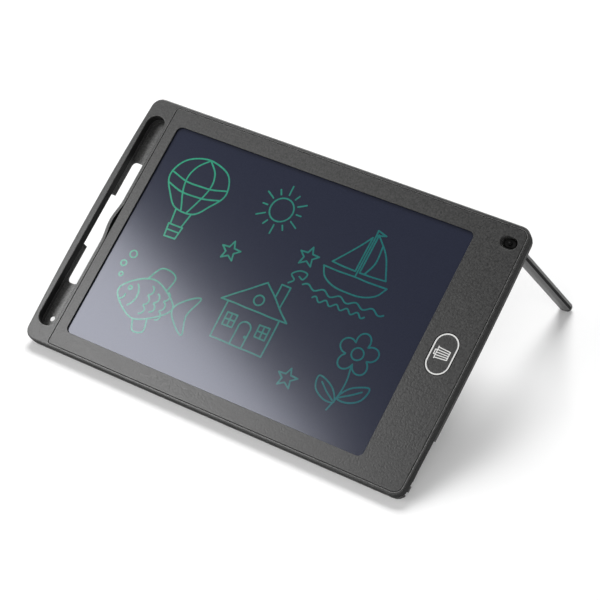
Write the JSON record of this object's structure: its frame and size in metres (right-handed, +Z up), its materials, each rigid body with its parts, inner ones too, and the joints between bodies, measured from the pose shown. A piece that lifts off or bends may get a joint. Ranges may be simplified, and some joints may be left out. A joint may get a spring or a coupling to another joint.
{
  "type": "lcd writing tablet",
  "caption": "Slim landscape LCD writing tablet with a side stylus tray and an erase key, propped on its long edge by its own stylus pushed through a corner hole.",
  "frame": {"origin": "middle of the footprint at floor level: the bounding box's bottom centre", "axes": "+X along the tablet's long edge, from the stylus tray to the erase key; +Y away from the writer, towards the stylus foot; +Z up"},
  "size_m": [0.2256, 0.1786, 0.0855],
  "materials": {
    "housing": "fine matte texture",
    "panel": "fine matte texture",
    "key": "satin with a printed white ring",
    "film": "satin, dark slate",
    "tape": "matte black",
    "backing": "matte black",
    "foam": "matte foam",
    "support": "matte board",
    "lead": "amber film",
    "connector": "natural",
    "board": "solder mask",
    "chip": "moulded resin",
    "ferrite": "fired ferrite",
    "ceramic": "fired ceramic",
    "steel": "zinc plated",
    "switch_metal": "plated sheet",
    "plunger": "natural",
    "drawer": "fine matte texture",
    "cell": "bright can",
    "contact": "spring brass",
    "lock": "satin black",
    "stylus": "satin",
    "nib": "satin black"
  },
  "bodies": {
    "housing": {"housing_frame": "housing", "rear_cover": "housing", "front_panel": "panel", "writing_film": "film", "adhesive_frame": "tape", "dark_backing_sheet": "backing", "foam_pad": "foam", "support_plate": "support", "film_tail": "lead", "tail_connector": "connector", "control_board": "board", "control_chip": "chip", "boost_inductor": "ferrite", "capacitor_1": "ceramic", "capacitor_2": "ceramic", "capacitor_3": "ceramic", "board_screw_1": "steel", "board_screw_2": "steel", "board_screw_3": "steel", "tact_switch_body": "switch_metal", "slide_switch_body": "switch_metal", "cell_contact_negative": "contact", "cell_contact_positive": "contact"},
    "erase_key": {"erase_button": "key", "tact_switch_plunger": "plunger"},
    "drawer": {"battery_drawer": "drawer", "coin_cell": "cell"},
    "lock": {"lock_slider": "lock", "slide_switch_lever": "lock"},
    "stylus": {"stylus_barrel": "stylus", "stylus_end_cap": "stylus", "stylus_nib": "nib"}
  },
  "joints": [
    {"name": "erase_press", "type": "slide", "parent": "housing", "child": "erase_key", "axis": [0, 0.5461, -0.8377], "range_m": [0, 0.0004], "stiffness_N_per_m": 2500, "springref_m": -0.0004},
    {"name": "drawer_slide", "type": "slide", "parent": "housing", "child": "drawer", "axis": [1, 0, 0], "range_m": [0, 0.027]},
    {"name": "lock_slide", "type": "slide", "parent": "housing", "child": "lock", "axis": [0, -0.8377, -0.5461], "range_m": [0, 0.0019]},
    {"name": "stylus_pull", "type": "slide", "parent": "housing", "child": "stylus", "axis": [0.052, 0.6313, -0.7738], "range_m": [0, 0.015]}
  ]
}
